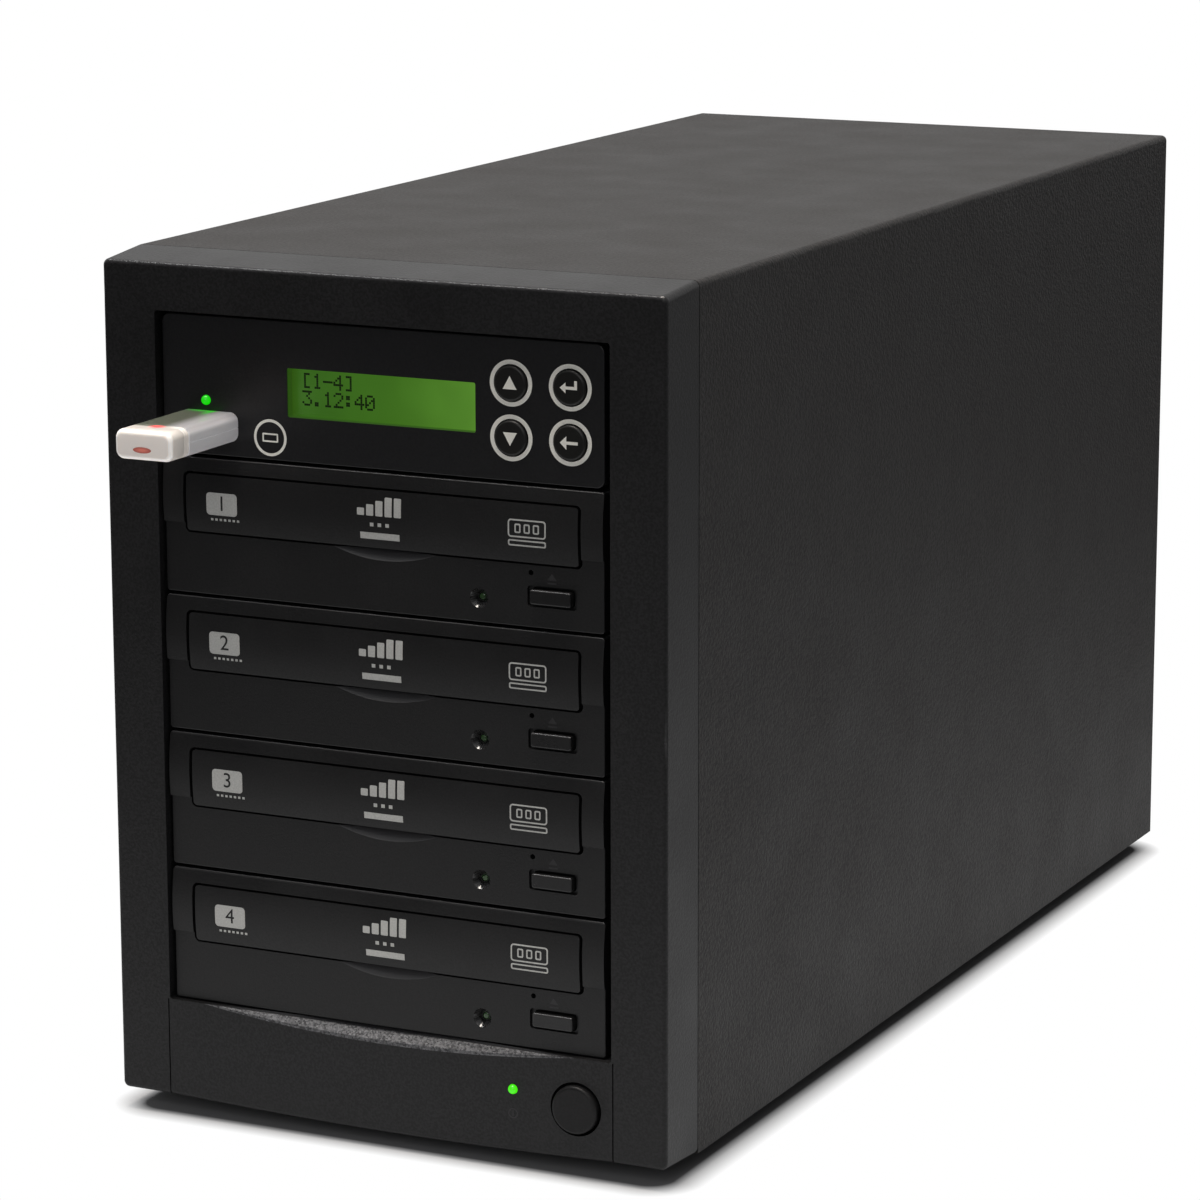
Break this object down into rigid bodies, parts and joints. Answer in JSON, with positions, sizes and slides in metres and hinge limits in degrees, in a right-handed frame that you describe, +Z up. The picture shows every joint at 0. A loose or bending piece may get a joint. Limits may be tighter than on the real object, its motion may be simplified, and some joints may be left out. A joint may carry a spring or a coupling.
{
  "type": "disc duplicator tower",
  "caption": "Upright office tower that copies optical discs: tray drives below a lit display with round keys, sheet steel case, power button, rear fans and mains inlet.",
  "frame": {"origin": "on the plane that the feet stand on, midway across the case and midway between its front and back", "axes": "+Z up, +Y from the front to the back, +X to the right of someone facing the front"},
  "size_m": [0.189, 0.4747, 0.27],
  "materials": {
    "case_abs": "fine textured moulding",
    "drive_abs": "fine textured moulding",
    "tray_plastic": "plain moulding",
    "spindle_metal": "turned",
    "sled_metal": "die cast",
    "zinc_steel": "zinc coated sheet",
    "ground_steel": "ground and polished",
    "light_lens": "clear moulding, unlit",
    "lit_green": "clear moulding, lit",
    "plated_screw": "nickel plated",
    "silver_trim": "metallic paint",
    "circuit_board": "solder mask",
    "module_frame": "black bent sheet",
    "display_glass": "lit display",
    "key_plastic": "moulding",
    "port_steel": "nickel plated",
    "stick_plastic": "white moulding",
    "painted_steel": "fine powder coat",
    "foot_rubber": "moulded",
    "fan_plastic": "glass filled moulding",
    "guard_wire": "bright plated wire",
    "inlet_plastic": "moulding",
    "data_jacket": "flexible jacket",
    "lead_jacket": "sleeved leads"
  },
  "bodies": {
    "root": {"base_pan": "painted_steel", "case_cover": "painted_steel", "case_screws": "plated_screw", "controller_boards": "circuit_board", "controller_faceplate": "case_abs", "data_cables": "data_jacket", "display_module": "module_frame", "display_window": "display_glass", "drive_1_bezel": "drive_abs", "drive_2_bezel": "drive_abs", "drive_3_bezel": "drive_abs", "drive_4_bezel": "drive_abs", "drive_cage": "zinc_steel", "drive_cases": "zinc_steel", "drive_decks": "tray_plastic", "drive_guide_rods": "ground_steel", "drive_lids": "zinc_steel", "drive_lights": "light_lens", "drive_screws": "plated_screw", "fan_frames": "fan_plastic", "fan_guards": "guard_wire", "feet": "foot_rubber", "front_bezel": "case_abs", "lower_panel": "case_abs", "panel_lights": "lit_green", "power_inlet": "inlet_plastic", "power_leads": "lead_jacket", "rear_panel": "painted_steel", "scoop_trim": "silver_trim", "supply_case": "zinc_steel", "usb_port": "port_steel"},
    "tray_1": {"drive_1_tray": "tray_plastic", "drive_1_tray_front": "drive_abs"},
    "eject_1": {"drive_1_eject_button": "drive_abs"},
    "spindle_1": {"drive_1_spindle": "spindle_metal"},
    "sled_1": {"drive_1_laser_sled": "sled_metal"},
    "tray_2": {"drive_2_tray": "tray_plastic", "drive_2_tray_front": "drive_abs"},
    "eject_2": {"drive_2_eject_button": "drive_abs"},
    "spindle_2": {"drive_2_spindle": "spindle_metal"},
    "sled_2": {"drive_2_laser_sled": "sled_metal"},
    "tray_3": {"drive_3_tray": "tray_plastic", "drive_3_tray_front": "drive_abs"},
    "eject_3": {"drive_3_eject_button": "drive_abs"},
    "spindle_3": {"drive_3_spindle": "spindle_metal"},
    "sled_3": {"drive_3_laser_sled": "sled_metal"},
    "tray_4": {"drive_4_tray": "tray_plastic", "drive_4_tray_front": "drive_abs"},
    "eject_4": {"drive_4_eject_button": "drive_abs"},
    "spindle_4": {"drive_4_spindle": "spindle_metal"},
    "sled_4": {"drive_4_laser_sled": "sled_metal"},
    "key_up": {"key_up": "key_plastic"},
    "key_down": {"key_down": "key_plastic"},
    "key_enter": {"key_enter": "key_plastic"},
    "key_back": {"key_back": "key_plastic"},
    "power_button": {"power_button": "case_abs"},
    "memory_stick": {"usb_stick": "stick_plastic"},
    "case_fan": {"case_fan_rotor": "fan_plastic"},
    "supply_fan": {"supply_fan_rotor": "fan_plastic"},
    "rocker": {"power_rocker": "inlet_plastic"}
  },
  "joints": [
    {"name": "tray_1_slide", "type": "slide", "parent": "root", "child": "tray_1", "axis": [0, -1, 0], "range_m": [0, 0.14]},
    {"name": "eject_1_press", "type": "slide", "parent": "root", "child": "eject_1", "axis": [0, 1, 0], "range_m": [0, 0.0008], "stiffness_N_per_m": 400},
    {"name": "spindle_1_spin", "type": "hinge", "parent": "root", "child": "spindle_1", "pos_m": [-0.0009, -0.1434, 0.1959], "axis": [0, 0, 1], "continuous": true},
    {"name": "sled_1_slide", "type": "slide", "parent": "root", "child": "sled_1", "axis": [0, 1, 0], "range_m": [0, 0.033]},
    {"name": "tray_2_slide", "type": "slide", "parent": "root", "child": "tray_2", "axis": [0, -1, 0], "range_m": [0, 0.14]},
    {"name": "eject_2_press", "type": "slide", "parent": "root", "child": "eject_2", "axis": [0, 1, 0], "range_m": [0, 0.0008], "stiffness_N_per_m": 400},
    {"name": "spindle_2_spin", "type": "hinge", "parent": "root", "child": "spindle_2", "pos_m": [-0.0009, -0.1434, 0.1529], "axis": [0, 0, 1], "continuous": true},
    {"name": "sled_2_slide", "type": "slide", "parent": "root", "child": "sled_2", "axis": [0, 1, 0], "range_m": [0, 0.033]},
    {"name": "tray_3_slide", "type": "slide", "parent": "root", "child": "tray_3", "axis": [0, -1, 0], "range_m": [0, 0.14]},
    {"name": "eject_3_press", "type": "slide", "parent": "root", "child": "eject_3", "axis": [0, 1, 0], "range_m": [0, 0.0008], "stiffness_N_per_m": 400},
    {"name": "spindle_3_spin", "type": "hinge", "parent": "root", "child": "spindle_3", "pos_m": [-0.0009, -0.1434, 0.1099], "axis": [0, 0, 1], "continuous": true},
    {"name": "sled_3_slide", "type": "slide", "parent": "root", "child": "sled_3", "axis": [0, 1, 0], "range_m": [0, 0.033]},
    {"name": "tray_4_slide", "type": "slide", "parent": "root", "child": "tray_4", "axis": [0, -1, 0], "range_m": [0, 0.14]},
    {"name": "eject_4_press", "type": "slide", "parent": "root", "child": "eject_4", "axis": [0, 1, 0], "range_m": [0, 0.0008], "stiffness_N_per_m": 400},
    {"name": "spindle_4_spin", "type": "hinge", "parent": "root", "child": "spindle_4", "pos_m": [-0.0009, -0.1434, 0.0669], "axis": [0, 0, 1], "continuous": true},
    {"name": "sled_4_slide", "type": "slide", "parent": "root", "child": "sled_4", "axis": [0, 1, 0], "range_m": [0, 0.033]},
    {"name": "key_up_press", "type": "slide", "parent": "root", "child": "key_up", "axis": [0, 1, 0], "range_m": [0, 0.0008], "stiffness_N_per_m": 400},
    {"name": "key_down_press", "type": "slide", "parent": "root", "child": "key_down", "axis": [0, 1, 0], "range_m": [0, 0.0008], "stiffness_N_per_m": 400},
    {"name": "key_enter_press", "type": "slide", "parent": "root", "child": "key_enter", "axis": [0, 1, 0], "range_m": [0, 0.0008], "stiffness_N_per_m": 400},
    {"name": "key_back_press", "type": "slide", "parent": "root", "child": "key_back", "axis": [0, 1, 0], "range_m": [0, 0.0008], "stiffness_N_per_m": 400},
    {"name": "power_button_press", "type": "slide", "parent": "root", "child": "power_button", "axis": [0, 1, 0], "range_m": [0, 0.002], "stiffness_N_per_m": 400},
    {"name": "memory_stick_pull", "type": "slide", "parent": "root", "child": "memory_stick", "axis": [0, -1, 0], "range_m": [0, 0.016]},
    {"name": "case_fan_spin", "type": "hinge", "parent": "root", "child": "case_fan", "pos_m": [0, 0.205, 0.157], "axis": [0, 1, 0], "continuous": true},
    {"name": "supply_fan_spin", "type": "hinge", "parent": "root", "child": "supply_fan", "pos_m": [0.016, 0.204, 0.05], "axis": [0, 1, 0], "continuous": true},
    {"name": "rocker_tilt", "type": "hinge", "parent": "root", "child": "rocker", "pos_m": [-0.046, 0.2153, 0.065], "axis": [1, 0, 0], "range_deg": [0, 20]}
  ]
}
